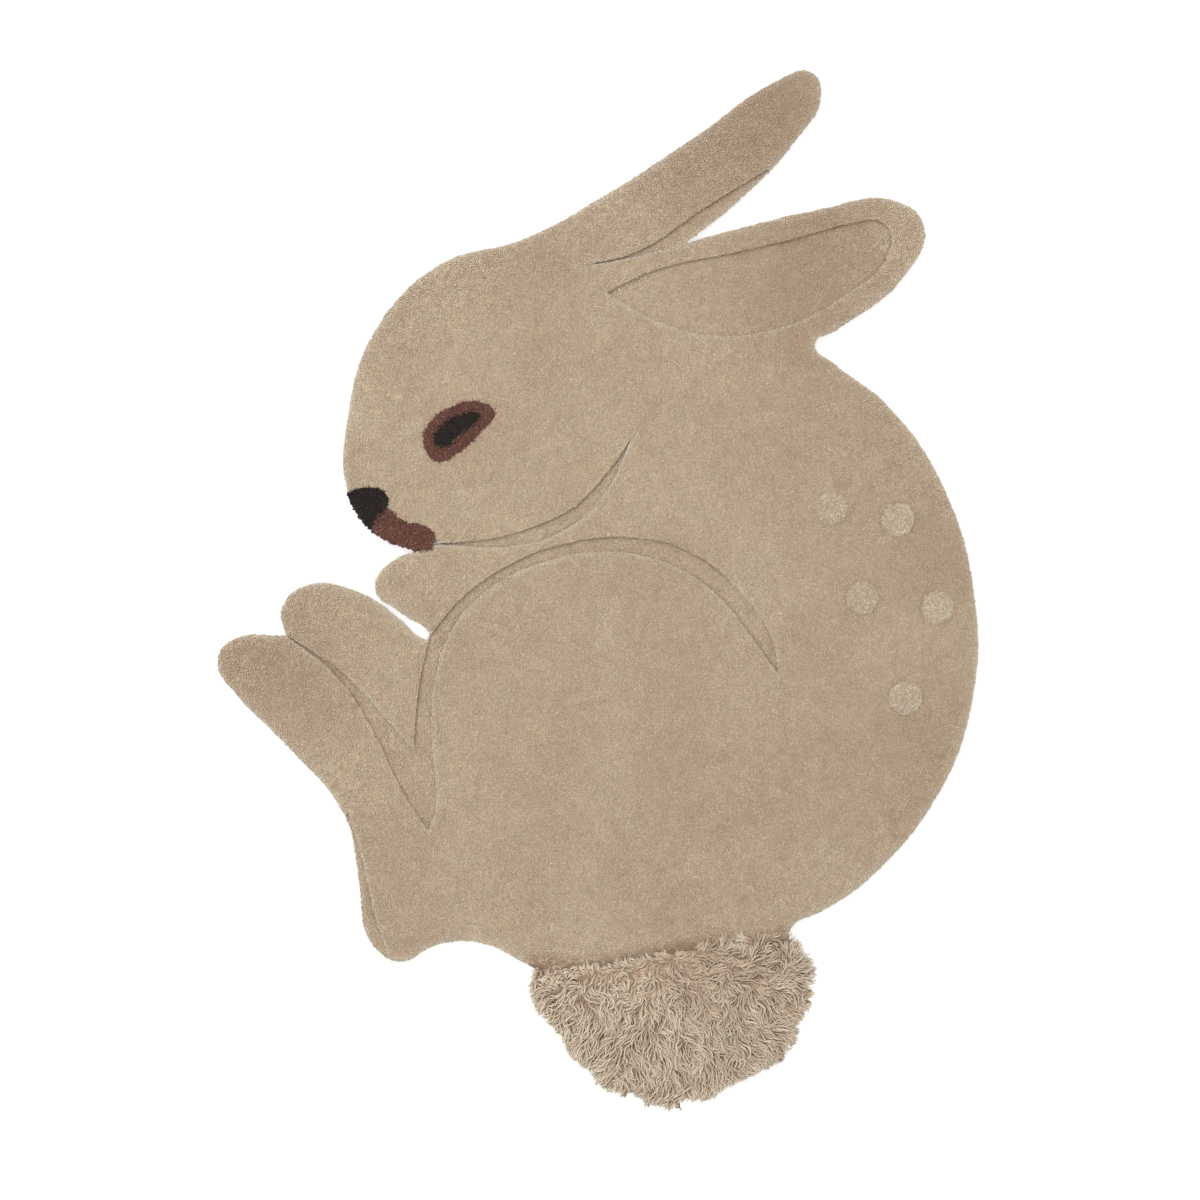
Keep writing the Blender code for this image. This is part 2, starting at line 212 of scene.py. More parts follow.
def wool(name, colour, tone=0.10, root=0.88, sheen=0.12, rim=0.0, darker=()):
    """Material of one yarn. tone changes its brightness at random, root is how bright the
    painted shade at the roots leaves it, rim is how much painted highlight the rim shows, and
    darker lists places with their radius and the share they lose."""
    made = bpy.data.materials.new(name)
    made.use_nodes = True
    made.diffuse_color = (*colour, 1.0)
    tree = made.node_tree
    shader = tree.nodes["Principled BSDF"]
    place = add(tree, "ShaderNodeTexCoord").outputs["Object"]

    cloud = noise(tree, place, CLOUD_CELLS, 3.0)
    brush = noise(tree, place, BRUSH_CELLS, 2.0)
    grain = noise(tree, place, GRAIN_CELLS, 2.0)
    gaps = span(tree, noise(tree, place, BREAK_CELLS, 1.0), *BREAKS)
    # painted shade along the shear lines, broken into dashes
    crease = sums(tree, "MULTIPLY", carried(tree, "crease"), gaps)
    parts = [
        span(tree, cloud, *NOISE, 1.0 - PATCHES, 1.0 + PATCHES),
        span(tree, brush, *NOISE, 1.0 - BRUSHED, 1.0 + BRUSHED),
        span(tree, grain, *NOISE, 1.0 - tone / 2, 1.0 + tone / 2),
        span(tree, carried(tree, "tone"), 0.0, 1.0, 1.0 - tone, 1.0 + tone),
        # painted shade towards each tuft's root
        span(tree, carried(tree, "tip"), 0.0, LIT, root, 1.0),
        span(tree, crease, 0.0, 1.0, 1.0, 1.0 - CREASE_SHADE),
        span(tree, carried(tree, "shade"), 0.0, 1.0, 1.0, 1.0 - SHADE),
    ]
    for centre, radius, share in darker:
        inputs = {0: place, 1: (*centre, 0.0)}
        off = add(tree, "ShaderNodeVectorMath", inputs, operation="DISTANCE").outputs["Value"]
        inputs = {"Value": off, "From Max": radius, "To Min": 1.0 - share, "To Max": 1.0}
        soft = add(tree, "ShaderNodeMapRange", inputs, interpolation_type="SMOOTHSTEP")
        parts.append(soft.outputs[0])
    bright = 1.0
    for part in parts:
        bright = sums(tree, "MULTIPLY", bright, part)
    spread = add(tree, "ShaderNodeCombineXYZ", {0: bright, 1: bright, 2: bright}).outputs[0]
    dyed = vectors(tree, "MULTIPLY", vectors(tree, "POWER", spread, BRIGHTNESS_TINT), colour)
    # painted highlight: paler towards the rim and along shear edges that face the lamp
    highlight_share = sums(tree, "MULTIPLY", sums(tree, "POWER", carried(tree, "rim"), 2.0), rim)
    lit_edge_share = sums(tree, "MULTIPLY", carried(tree, "ridge"), gaps)
    highlight_share = sums(tree, "MAXIMUM", highlight_share, sums(tree, "MULTIPLY", lit_edge_share, RIDGE_HIGHLIGHT))
    closed = scaled(tree, dyed, sums(tree, "SUBTRACT", 1.0, highlight_share))
    paled = vectors(tree, "ADD", closed, scaled(tree, HIGHLIGHT_COLOUR, highlight_share))
    tree.links.new(paled, shader.inputs["Base Color"])

    fluff = noise(tree, place, FIBRE_CELLS, 2.0)
    inputs = {"Strength": FIBRES, "Distance": FIBRE_DEPTH, "Height": fluff}
    bump = add(tree, "ShaderNodeBump", inputs)
    tree.links.new(bump.outputs[0], shader.inputs["Normal"])
    shader.inputs["Roughness"].default_value = 0.95
    shader.inputs["Specular IOR Level"].default_value = 0.2
    shader.inputs["Sheen Weight"].default_value = sheen
    shader.inputs["Sheen Roughness"].default_value = 0.6
    return made


# %% Yarn colours
# places where the body's pile lies darker: centre, radius and share of the brightness lost
DARKER = (
    ((0.165, 0.510), 0.21, 0.24),      # far ear
    ((0.215, 0.320), 0.14, 0.18),      # near ear
    ((0.240, 0.170), 0.11, 0.10),      # nape
    ((0.410, 0.050), 0.18, 0.15),      # edge of the back
    ((0.330, -0.200), 0.16, 0.13),     # side of the rump
    ((0.260, -0.070), 0.15, 0.05),     # flank
    ((0.130, -0.270), 0.18, 0.09),     # rump
    ((0.080, -0.070), 0.16, 0.07),     # thigh
    ((-0.360, -0.060), 0.16, 0.17),    # toes
    ((-0.250, -0.330), 0.14, 0.06),    # heel
    ((-0.268, -0.270), 0.04, 0.09),    # far leg, above: painted shade in its low strip
    ((-0.254, -0.335), 0.04, 0.09),    # far leg, below: painted shade in its low strip
    ((-0.080, 0.350), 0.12, 0.08),     # crown
)
# root sets the painted shade at the roots, strongest deep between the shag's strands
beige_wool = wool("beige_wool", (0.692, 0.580, 0.432), tone=0.17, rim=0.30, darker=DARKER)
shag_wool = wool("shag_wool", (0.692, 0.594, 0.462), tone=0.14, root=0.48)
spot_wool = wool("spot_wool", (0.742, 0.657, 0.513), tone=0.18, root=0.74)
brown_wool = wool("brown_wool", (0.236, 0.112, 0.084), tone=0.34, sheen=0.05)
black_wool = wool("black_wool", (0.044, 0.034, 0.030), tone=0.35, sheen=0.03)
print("yarns:", [m.name for m in (beige_wool, shag_wool, spot_wool, brown_wool, black_wool)])

# %% [markdown]
# ## Canvas
# The tufts are punched through a woven canvas, which shows from below. Two sine waves at
# right angles, one for each set of threads, make a plain weave for colour and for bump. The
# gaps between the threads are painted darker as shade, and their crowns lighter.

# %% Canvas material
WEAVE_SHADE = (0.78, 1.06)    # painted shade and light: brightness from the gaps to the crowns of the threads
SLUBS = (0.9, 1.08)     # and from thin to thick stretches of a thread
SLUB_CELLS = 90.0
WEAVE_BUMP = 0.6
WEAVE_DEPTH = 0.5 * MM


def canvas(name, colour, thread):
    """Plain weave of threads of a width, in Object coordinates."""
    made = bpy.data.materials.new(name)
    made.use_nodes = True
    tree = made.node_tree
    shader = tree.nodes["Principled BSDF"]
    place = add(tree, "ShaderNodeTexCoord").outputs["Object"]
    axes = add(tree, "ShaderNodeSeparateXYZ", {0: place})
    turns = math.pi / thread
    along = sums(tree, "SINE", sums(tree, "MULTIPLY", axes.outputs[0], turns))
    across = sums(tree, "SINE", sums(tree, "MULTIPLY", axes.outputs[1], turns))
    height = sums(tree, "MULTIPLY", along, across)
    weave_shaded = span(tree, height, -1.0, 1.0, *WEAVE_SHADE)
    uneven = span(tree, noise(tree, place, SLUB_CELLS, 3.0), *NOISE, *SLUBS)
    bright = sums(tree, "MULTIPLY", weave_shaded, uneven)
    tree.links.new(scaled(tree, colour, bright), shader.inputs["Base Color"])
    inputs = {"Strength": WEAVE_BUMP, "Distance": WEAVE_DEPTH, "Height": height}
    bump = add(tree, "ShaderNodeBump", inputs)
    tree.links.new(bump.outputs[0], shader.inputs["Normal"])
    shader.inputs["Roughness"].default_value = 0.9
    return made


backing_canvas = canvas("backing_canvas", (0.56, 0.50, 0.40), thread=1.6 * MM)
print("backing:", backing_canvas.name)

# %% [markdown]
# ## Ground of the pile
# Tufts need something to stand on. A copy of each solid, drawn in by a few millimetres,
# serves as the ground, and the tufts bring the pile back to its real height. The copy is
# merged first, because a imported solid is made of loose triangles, and its flat places are
# made one face each, because a thin triangle would turn over when its corners move. A
# corner has to move further than a flat place does. The least-squares answer for all the
# faces that meet at a point draws every one of them in by the same amount. What lies on the
# floor keeps its height.

# %% Ground
PILE_INSET = 2.0 * MM
FLOOR_TOUCH = 0.1 * MM
SAME_POINT = 0.01 * MM
FLAT = math.radians(1.0)
ALIKE = 0.999            # cosine between normals that count as one
LEAST_RANK = 0.1         # directions weaker than this share don't pull on a corner
SHARPEST = 2.5           # no corner moves further than this many times the inset
UNDERSIDE = -0.7         # the highest Z of a normal that faces the floor


def object_of(name, mesh):
    """New object of a mesh, in the scene."""
    made = bpy.data.objects.new(name, mesh)
    scene.collection.objects.link(made)
    return made


def merged(node):
    """A solid's mesh with its triangles joined, and each flat place one face."""
    shape = bmesh.new()
    shape.from_mesh(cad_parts[node].data)
    bmesh.ops.remove_doubles(shape, verts=shape.verts, dist=SAME_POINT)
    bmesh.ops.dissolve_limit(shape, angle_limit=FLAT, verts=shape.verts, edges=shape.edges)
    shape.normal_update()
    return shape


def drawn_in(vert, inset):
    """How a point moves so that each face around it moves in by the inset."""
    facing = []
    for face in sorted(vert.link_faces, key=lambda face: -face.calc_area()):
        if all(face.normal.dot(other) < ALIKE for other in facing):
            facing.append(face.normal)
    rows = np.array([tuple(normal) for normal in facing])
    answer = np.linalg.lstsq(rows, np.full(len(rows), inset), rcond=LEAST_RANK)[0]
    move = Vector(answer)
    if move.length > inset * SHARPEST:
        move *= inset * SHARPEST / move.length
    return move


def ground(name, node, inset, material, sideways=1.0):
    """Copy of a solid, drawn in on all sides but its underside. sideways is the walls' share."""
    shape = merged(node)
    moves = {vert: drawn_in(vert, inset) for vert in shape.verts}
    for vert, move in moves.items():
        if vert.co.z < FLOOR_TOUCH:
            move.z = 0.0
        vert.co -= Vector((move.x * sideways, move.y * sideways, move.z))
        vert.co.z = max(vert.co.z, 0.0)
    mesh = bpy.data.meshes.new(name)
    shape.to_mesh(mesh)
    shape.free()
    mesh.materials.append(material)
    made = object_of(name, mesh)
    print(name, "has", len(mesh.polygons), "faces")
    return made


rug_ground = ground("rug_ground", "rug_body", PILE_INSET, beige_wool, sideways=0.4)
rug_ground.data.materials.append(backing_canvas)
for face in rug_ground.data.polygons:
    if face.normal.z < UNDERSIDE:
        face.material_index = 1

# %% [markdown]
# ## Lines in the pile
# Painted shade makes a thin dark line at the foot of each step between high and low pile,
# where the raised edge shades it. A line is kept as a mesh of loose edges, so that a tuft can
# tell how far it is from the nearest one. A few lines have no step of their own to follow: a
# cut between the ears, an arc at the upper left of each round spot, and the line along which
# the tail joins the body. The cut and the arcs are painted shade too.

# %% Lines without a step
SPOTS = 5
ARC_START = math.radians(60)
ARC_END = math.radians(240)
ARC_STEPS = 12
ARC_CLEARS = (0.2 * MM, 1.4 * MM)   # an arc is two lines just outside its spot

# the shallow cut between the two ears, which has no step, painted as a line of shade
EAR_CUT = (
    Vector((0.043, 0.352, 0.0)), Vector((0.058, 0.356, 0.0)),
    Vector((0.078, 0.363, 0.0)), Vector((0.096, 0.368, 0.0)),
)
# the line of the tail's join, from its left end to its right end
JOIN = (
    Vector((-0.068, -0.402, 0.0)), Vector((-0.010, -0.408, 0.0)),
    Vector((0.105, -0.387, 0.0)), Vector((0.203, -0.374, 0.0)),
)


def to_join(point):
    """Distance of a point from the nearest stretch of the join, seen from above."""
    found = []
    for start, end in zip(JOIN, JOIN[1:]):
        along = (point - start).xy.dot((end - start).xy) / (end - start).xy.length_squared
        nearest = start.lerp(end, min(max(along, 0.0), 1.0))
        found.append((point - nearest).xy.length)
    return min(found)


def lines_of(name, stretches, height=0.0):
    """Mesh of loose edges at one height, each between two points."""
    points = [point for stretch in stretches for point in stretch]
    edges = [(2 * number, 2 * number + 1) for number in range(len(stretches))]
    mesh = bpy.data.meshes.new(name)
    mesh.from_pydata([(point.x, point.y, height) for point in points], edges, [])
    return object_of(name, mesh)


def arc_beside(node, clear):
    """Stretches of the arc that runs round a spot's upper left, so far outside it."""
    corners = [vert.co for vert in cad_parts[node].data.vertices]
    left, right = min(co.x for co in corners), max(co.x for co in corners)
    near, far = min(co.y for co in corners), max(co.y for co in corners)
    around = []
    for step in range(ARC_STEPS + 1):
        bearing = ARC_START + (ARC_END - ARC_START) * step / ARC_STEPS
        across = (left + right) / 2 + ((right - left) / 2 + clear) * math.cos(bearing)
        along = (near + far) / 2 + ((far - near) / 2 + clear) * math.sin(bearing)
        around.append(Vector((across, along, 0.0)))
    return zip(around, around[1:])


# %% [markdown]
# ## Edges of the body
# The other lines are edges of the body's solid. The feet of the steps are its concave edges
# at the height of the low pile, where shade is painted. Laid flat, with the arcs and the cut,
# they are the first mesh. The second is the line of the tail's join, because the tail shades
# the pile beside it, and that shade is painted. The third is the border of the rug's
# underside, because a painted highlight makes the pile paler towards the rug's rim. A painted
# highlight also lies along the high edge of a step that faces the lamp. Those edges are the
# fourth mesh, and it keeps their height, so that the low pile at their feet is out of reach.

# %% Find the lines
LOW_PILE = 9.0 * MM
CONCAVE = math.radians(-30)
CONVEX = math.radians(45)
JOIN_CLEAR = 6.0 * MM   # the rim ends where the tail begins

shape = merged("rug_body")
feet = []
ridges = []
outline = []
for edge in shape.edges:
    ends = [vert.co.copy() for vert in edge.verts]
    high = min(end.z for end in ends) > PILE_TOP - FLOOR_TOUCH
    if high and len(edge.link_faces) == 2 and edge.calc_face_angle_signed() > CONVEX:
        wall = min(edge.link_faces, key=lambda face: face.normal.z)
        foot = min(vert.co.z for vert in wall.verts)
        # a high edge whose wall faces the lamp gets the painted highlight
        if foot > LOW_PILE - FLOOR_TOUCH and wall.normal.xy.dot(LAMP_PLACE.xy) > 0:
            ridges.append(ends)
    level = max(abs(end.z - LOW_PILE) for end in ends) < FLOOR_TOUCH
    if level and len(edge.link_faces) == 2 and edge.calc_face_angle_signed() < CONCAVE:
        feet.append(ends)
    below = [face for face in edge.link_faces if face.normal.z < UNDERSIDE]
    if len(below) == 1 and min(to_join(end) for end in ends) > JOIN_CLEAR:
        outline.append(ends)
shape.free()
for number in range(1, SPOTS + 1):
    for clear in ARC_CLEARS:
        feet += arc_beside("back_spot_%d" % number, clear)
feet += zip(EAR_CUT, EAR_CUT[1:])
shear_lines = lines_of("shear_lines", feet)
ridge_lines = lines_of("ridge_lines", ridges, PILE_TOP)
join_line = lines_of("join_line", list(zip(JOIN, JOIN[1:])))
rim_line = lines_of("rim_line", outline)
print("edges:", len(feet), "of shear lines,", len(ridges), "of ridges,", len(outline), "of the rim")

# %% [markdown]
# ## Cut pile
# A tuft of cut pile is a little bundle of fibres that ends in a soft point. There are far
# too many of them to place by hand, so a Geometry Nodes tree scatters points over the
# ground, a least distance apart, and stands a three-sided cone on each. These helpers
# start a tree, draw a random number, keep a value on the mesh, and scatter the points. The
# tail's tree uses them too.

# %% Helpers for Geometry Nodes
def new_tree(name, inputs):
    """Geometry Nodes tree with named inputs, with its group input and output."""
    tree = bpy.data.node_groups.new(name, "GeometryNodeTree")
    tree.interface.new_socket("Geometry", in_out="INPUT", socket_type="NodeSocketGeometry")
    tree.interface.new_socket("Geometry", in_out="OUTPUT", socket_type="NodeSocketGeometry")
    for label, kind in inputs:
        tree.interface.new_socket(label, in_out="INPUT", socket_type="NodeSocket" + kind)
    return tree, tree.nodes.new("NodeGroupInput").outputs, tree.nodes.new("NodeGroupOutput").inputs


def tell(tree):
    """Print how large a tree has grown."""
    print(tree.name, "tree:", len(tree.nodes), "nodes")


def chance(tree, low, high, seed, step):
    """A random number for each point. step keeps the draws of one seed apart."""
    draw = sums(tree, "ADD", seed, step)
    inputs = {2: low, 3: high, "Seed": draw}
    return add(tree, "FunctionNodeRandomValue", inputs, data_type="FLOAT").outputs[1]


def stored(tree, geometry, name, domain, value, data_type="FLOAT"):
    """The geometry with one more named attribute."""
    inputs = {"Geometry": geometry, "Name": name, "Value": value}
    node = add(tree, "GeometryNodeStoreNamedAttribute", inputs, data_type=data_type, domain=domain)
    return node.outputs[0]


DENSEST = 1.6e6         # tries for each square metre, before close neighbours are dropped


def scattered(tree, given, steepest):
    """Points on the faces whose normal has a Z above steepest, no two nearer than Spacing."""
    normal = add(tree, "GeometryNodeInputNormal").outputs[0]
    slope = add(tree, "ShaderNodeSeparateXYZ", {0: normal}).outputs[2]
    upward = add(tree, "FunctionNodeCompare", {0: slope, 1: steepest}, operation="GREATER_THAN")
    inputs = {
        "Mesh": given["Geometry"], "Selection": upward.outputs[0], "Distance Min": given["Spacing"],
        "Density Max": DENSEST, "Seed": given["Seed"],
    }
    return add(tree, "GeometryNodeDistributePointsOnFaces", inputs, distribute_method="POISSON")


# %% [markdown]
# ## Inputs of the tufts
# One tree serves all the yarns, so whatever differs between them is an input. From and To
# are corners of a box. Only the tufts that stand in it are grown, so that a large pile can
# be divided into several meshes.

# %% Tree that grows tufts
tufts, given, result = new_tree("tufts", (
    ("Spacing", "Float"),
    ("Width", "Float"),
    ("Height", "Float"),
    ("Lean", "Float"),
    ("Drift", "Float"),
    ("Centre", "Vector"),
    ("Splay", "Float"),
    ("Rise", "Float"),
    ("Ragged", "Float"),
    ("Shear Lines", "Object"),
    ("Shear Width", "Float"),
    ("Ridge Lines", "Object"),
    ("Ridge Width", "Float"),
    ("Join Lines", "Object"),
    ("Join Width", "Float"),
    ("Rim Lines", "Object"),
    ("Rim Width", "Float"),
    ("Seed", "Int"),
    ("From", "Vector"),
    ("To", "Vector"),
    ("Keep Ground", "Bool"),
    ("Yarn", "Material"),
))
tell(tufts)

# %% [markdown]
# ## Where the tufts stand
# A quick noise moves the tufts by a millimetre or two, the same way whatever their yarn, so
# that the borders between two yarns and the rug's outline get a ragged line.

# %% Scatter the tufts
STEEPEST = -0.3         # the lowest Z of a normal that still carries tufts
JITTER_CELLS = 260.0    # noise that makes borders ragged, in cells to a metre
HALF = (0.5, 0.5, 0.5)  # the middle of a noise of three numbers
LEVEL = (1.0, 1.0, 0.0)  # keeps what lies along the floor

scatter = scattered(tufts, given, STEEPEST)
spot = add(tufts, "GeometryNodeInputPosition").outputs[0]
within = []
for corner, test in (("From", "GREATER_EQUAL"), ("To", "LESS_THAN")):
    compare = add(tufts, "FunctionNodeCompare", data_type="VECTOR", mode="ELEMENT", operation=test)
    tufts.links.new(spot, compare.inputs["A"])
    tufts.links.new(given[corner], compare.inputs["B"])
    within.append(compare.outputs[0])
both = add(tufts, "FunctionNodeBooleanMath", {0: within[0], 1: within[1]}, operation="AND")
here = add(
    tufts, "GeometryNodeSeparateGeometry",
    {"Geometry": scatter.outputs["Points"], "Selection": both.outputs[0]}, domain="POINT",
)

jitter = vectors(tufts, "SUBTRACT", noise(tufts, spot, JITTER_CELLS, 1.0, output=1), HALF)
jitter = scaled(tufts, vectors(tufts, "MULTIPLY", jitter, LEVEL), given["Ragged"])
inputs = {"Geometry": here.outputs[0], "Offset": jitter}
moved = add(tufts, "GeometryNodeSetPosition", inputs)
tell(tufts)

# %% [markdown]
# ## How a tuft leans
# A tuft follows the slope of its ground. On a steep rim it rises again, as real pile does
# where nothing leans against it. A slow noise makes neighbours lean the same way, a random
# lean ruffles them, and a splay turns them away from a centre.

# %% Lean and turn the tufts
DRIFT_CELLS = 28.0      # noise that leans whole patches of pile
WIDTHS = (0.85, 1.2)    # share of the given width that a tuft has
HEIGHTS = (0.75, 1.25)  # and of the given height
UP = (0.0, 0.0, 1.0)

level = add(tufts, "ShaderNodeSeparateXYZ", {0: scatter.outputs["Normal"]}).outputs[2]
steep = sums(tufts, "SUBTRACT", 1.0, level)
lift = scaled(tufts, UP, sums(tufts, "MULTIPLY", steep, given["Rise"]))
drift = vectors(tufts, "SUBTRACT", noise(tufts, spot, DRIFT_CELLS, 1.0, output=1), HALF)
drift = scaled(tufts, drift, given["Drift"])
ruffle = add(
    tufts, "FunctionNodeRandomValue",
    {0: (-1.0, -1.0, 0.0), 1: (1.0, 1.0, 0.0), "Seed": given["Seed"]}, data_type="FLOAT_VECTOR",
).outputs[0]
ruffle = scaled(tufts, ruffle, given["Lean"])
stand = vectors(tufts, "ADD", scatter.outputs["Normal"], lift)
outward = vectors(tufts, "SUBTRACT", spot, given["Centre"])
outward = vectors(tufts, "MULTIPLY", outward, LEVEL)
for part in (drift, ruffle, scaled(tufts, outward, given["Splay"])):
    stand = vectors(tufts, "ADD", stand, part)

twist = add(tufts, "ShaderNodeCombineXYZ", {2: chance(tufts, 0.0, math.tau, given["Seed"], 1)})
turned = add(tufts, "FunctionNodeEulerToRotation", {0: twist.outputs[0]})
aligned = add(
    tufts, "FunctionNodeAlignRotationToVector",
    {"Rotation": turned.outputs[0], "Vector": stand}, axis="Z",
)
wide = chance(tufts, *WIDTHS, given["Seed"], 2)
tall = chance(tufts, *HEIGHTS, given["Seed"], 3)
size = add(tufts, "ShaderNodeCombineXYZ", {0: wide, 1: wide, 2: tall})
tell(tufts)

# %% [markdown]
# ## The tuft itself
# The cone says how near its tip a point is, so that the material can paint shade towards
# the root, and each tuft keeps its own tone. Four more attributes tell the material how near
# a point is to the nearest shear line, lit ridge, stretch of the join and stretch of the rim,
# where it paints shade or a highlight.

# %% Grow and mark the tufts
cone = add(
    tufts, "GeometryNodeMeshCone",
    {
        "Vertices": 3, "Side Segments": 1, "Fill Segments": 1, "Radius Top": 0.0,
        "Radius Bottom": sums(tufts, "MULTIPLY", given["Width"], 0.5), "Depth": given["Height"],
    },
    fill_type="NGON",
)
cone_height = add(tufts, "ShaderNodeSeparateXYZ", {0: spot}).outputs[2]
tip = sums(tufts, "DIVIDE", cone_height, given["Height"])
bundle = stored(tufts, cone.outputs["Mesh"], "tip", "POINT", tip)
planted = add(
    tufts, "GeometryNodeInstanceOnPoints",
    {
        "Points": moved.outputs[0], "Instance": bundle, "Rotation": aligned.outputs[0],
        "Scale": size.outputs[0],
    },
)
shade = chance(tufts, 0.0, 1.0, given["Seed"], 4)
toned = stored(tufts, planted.outputs[0], "tone", "INSTANCE", shade)
real = add(tufts, "GeometryNodeRealizeInstances", {"Geometry": toned}).outputs[0]
laid = vectors(tufts, "MULTIPLY", spot, LEVEL)
for label, name, place in (
    ("Shear", "crease", laid), ("Ridge", "ridge", spot), ("Join", "shade", laid), ("Rim", "rim", laid),
):
    lines = add(tufts, "GeometryNodeObjectInfo", {"Object": given[label + " Lines"]})
    inputs = {0: lines.outputs["Geometry"], "Source Position": place}
    near = add(tufts, "GeometryNodeProximity", inputs, target_element="EDGES")
    close = span(tufts, near.outputs["Distance"], 0.0, given[label + " Width"], 1.0, 0.0)
    real = stored(tufts, real, name, "POINT", close)
soft = add(tufts, "GeometryNodeSetShadeSmooth", {"Geometry": real, "Shade Smooth": True})
inputs = {"Switch": given["Keep Ground"], "True": given["Geometry"]}
kept = add(tufts, "GeometryNodeSwitch", inputs, input_type="GEOMETRY")
joined = add(tufts, "GeometryNodeJoinGeometry")
tufts.links.new(soft.outputs[0], joined.inputs[0])
tufts.links.new(kept.outputs[0], joined.inputs[0])
inputs = {"Geometry": joined.outputs[0], "Material": given["Yarn"]}
dyed = add(tufts, "GeometryNodeSetMaterial", inputs)
tufts.links.new(dyed.outputs[0], result[0])
tell(tufts)

# %% [markdown]
# ## From a tree to a mesh
# A tree works on a copy of the ground through a modifier. Its inputs are set by their
# sockets' identifiers, before the copy is first evaluated. The evaluated result becomes a
# plain mesh of its own, and the copy is removed.

# %% Grow a piece
def grow(name, source, tree, values):
    """Plain mesh that a tree makes from a source object, riding on the rug."""
    helper = object_of(name + "_helper", source.data.copy())
    change = helper.modifiers.new(tree.name, "NODES")
    change.node_group = tree
    sockets = {s.name: s.identifier for s in tree.interface.items_tree if s.in_out == "INPUT"}
    for label, value in values.items():
        change[sockets[label]] = value
    graph = bpy.context.evaluated_depsgraph_get()
    mesh = bpy.data.meshes.new_from_object(helper.evaluated_get(graph), depsgraph=graph)
    bpy.data.objects.remove(helper, do_unlink=True)
    mesh.name = name
    made = object_of(name, mesh)
    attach(made, "root")
    mesh.calc_loop_triangles()
    print(name, "has", len(mesh.loop_triangles), "triangles")
    return made


# %% [markdown]
# ## Pile of the body
# One tree grows the whole pile, in four bands from the ears to the rump, so that no mesh
# gets too large. The bands share the seed, so the scatter goes on without a seam.

# %% Body pile
PILE = {
    "Spacing": 1.42 * MM,
    "Width": 3.1 * MM,
    "Height": 2.3 * MM,
    "Lean": 0.22,
    "Drift": 0.4,
    "Splay": 0.0,
    "Rise": 2.5,
    "Ragged": 3.0 * MM,
    "Shear Lines": shear_lines,
    "Shear Width": 1.4 * MM,
    "Ridge Lines": ridge_lines,
    "Ridge Width": 6.2 * MM,
    "Join Lines": join_line,
    "Join Width": 19.0 * MM,
    "Rim Lines": rim_line,
    "Rim Width": 13.0 * MM,
    "Seed": 7,
    "Keep Ground": False,
}
BARE = 3.0 * MM         # the canvas and its latex carry no tufts
FAR = 1.0
# columns: name, lower end, upper end
BANDS = (
    ("pile_ears", 0.200, FAR),
    ("pile_head", 0.020, 0.200),
    ("pile_thigh", -0.150, 0.020),
    ("pile_rump", -FAR, -0.150),
)

for name, low, high in BANDS:
    limits = {"From": (-FAR, low, BARE), "To": (FAR, high, FAR), "Yarn": beige_wool}
    grow(name, rug_ground, tufts, {**PILE, **limits})

# %% [markdown]
# ## Eye, nose and mouth
# These are the same pile in brown and near-black yarn. Each stands in its own pocket, and the
# tufts at its border reach over it, which makes the ragged edge between two yarns.

# %% Coloured fields
# columns: solid, yarn, material slot
FIELDS = (
    ("eye_rim", brown_wool, "wool_brown"),
    ("eye_pupil", black_wool, "wool_black"),
    ("nose", black_wool, "wool_black"),
    ("mouth", brown_wool, "wool_brown"),
)
EVERYWHERE = {"From": (-FAR, -FAR, BARE), "To": (FAR, FAR, FAR), "Keep Ground": True}
FIELD_SIDEWAYS = -0.2   # the walls move out a little, not in
FIELD_HEIGHT = 3.0 * MM
FIELD_LEAN = 0.65
FIELD_RAGGED = 7.0 * MM

for number, (node, yarn, slot_name) in enumerate(FIELDS):
    base = ground(node + "_ground", node, PILE_INSET, yarn, sideways=FIELD_SIDEWAYS)
    values = {
        **PILE, **EVERYWHERE, "Height": FIELD_HEIGHT, "Lean": FIELD_LEAN, "Ragged": FIELD_RAGGED,
        "Seed": 20 + number, "Yarn": yarn,
    }
    piece = grow(node + "_pile", base, tufts, values)
    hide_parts(node)
    bpy.data.objects.remove(base, do_unlink=True)

# %% [markdown]
# ## Back spots
# The round spots stand a little higher than the rug around them, so their fibres open out
# like a brush. The tufts are a little wider and lean away from near the middle of their
# spot. An arc of painted shade on the side of the lamp stands for the shade in the cut
# around a spot.

# %% Spots
SPOT_INSET = 2.2 * MM
SPOT_SIDEWAYS = 0.1
SPOT_TILT = Vector((-0.005, 0.005, 0.0))    # the tufts lean away from here, off the lamp
SPOT_PILE = {
    **PILE, **EVERYWHERE,
    "Spacing": 1.5 * MM,
    "Width": 3.5 * MM,
    "Height": 2.3 * MM,
    "Lean": 0.3,
    "Drift": 0.6,
    "Splay": 8.0,
    "Ragged": 3.0 * MM,
    # a wider band of the spot's own tufts takes the arc's painted shade
    "Shear Width": 2.0 * MM,
    "Yarn": spot_wool,
}

for number in range(1, SPOTS + 1):
    node = "back_spot_%d" % number
    base = ground(node + "_ground", node, SPOT_INSET, spot_wool, sideways=SPOT_SIDEWAYS)
    corners = [vert.co for vert in base.data.vertices]
    centre = (sum(corners, Vector()) / len(corners) + SPOT_TILT).to_tuple()
    values = {**SPOT_PILE, "Centre": centre, "Seed": 30 + number}
    piece = grow(node + "_pile", base, tufts, values)
    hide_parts(node)
    bpy.data.objects.remove(base, do_unlink=True)

# %% [markdown]
# ## Tail
# The tail is long shag. Its strands start upwards, fall over and point away from the rug,
# and near the join they stand up and turn every way. Neighbours mat together into locks
# about a centimetre wide. Each strand has to know how far it may reach, so the tail's
# ground carries its distance from the solid's own rim, and how near the join it is. The
# ground is tucked a little way under the body's pile, so that no floor shows between them.

